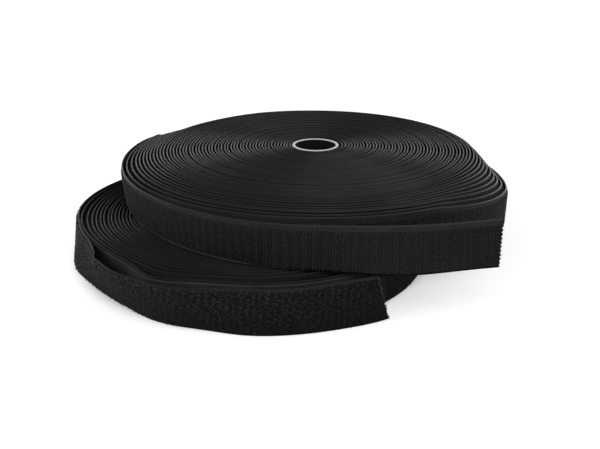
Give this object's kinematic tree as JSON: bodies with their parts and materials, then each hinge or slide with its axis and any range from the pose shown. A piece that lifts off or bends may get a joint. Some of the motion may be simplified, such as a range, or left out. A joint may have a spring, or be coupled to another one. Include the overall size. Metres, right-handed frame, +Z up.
{
  "type": "hook and loop tape roll",
  "caption": "Pair of flat tape rolls, hook tape lying on loop tape, each wound edge-on around a small core with a loose free end for peeling and cutting off fastener tape.",
  "frame": {"origin": "on the table, under the middle of the box around both rolls", "axes": "+Z up, along both cores; -Y towards the side along which the free ends run; +X to the right, towards the cut ends"},
  "size_m": [0.274, 0.272, 0.0566],
  "materials": {
    "core": "plastic tube, cut square, with a pale grey rim and a dark bore",
    "hook_tape": "black woven nylon tape with stiff hooks on its outer face and plain selvedges",
    "loop_tape": "black woven nylon tape with a soft brushed loop pile on its outer face"
  },
  "bodies": {
    "loop_roll": {"loop_core": "core", "loop_winding": "loop_tape"},
    "hook_roll": {"hook_core": "core", "hook_winding": "hook_tape"},
    "hook_free_end": {"hook_tail": "hook_tape"},
    "loop_free_end": {"loop_tail": "loop_tape"}
  },
  "joints": [
    {"name": "hook_roll_lift", "type": "slide", "parent": "loop_roll", "child": "hook_roll", "axis": [0, 0, 1], "range_m": [0, 0.1]},
    {"name": "hook_tail_peel", "type": "hinge", "parent": "hook_roll", "child": "hook_free_end", "pos_m": [0.00533, -0.11637, 0.0378], "axis": [0, 0, -1], "range_deg": [0, 70]},
    {"name": "loop_tail_peel", "type": "hinge", "parent": "loop_roll", "child": "loop_free_end", "pos_m": [-0.13376, -0.04975, 0.0125], "axis": [0, 0, -1], "range_deg": [0, 60]}
  ]
}
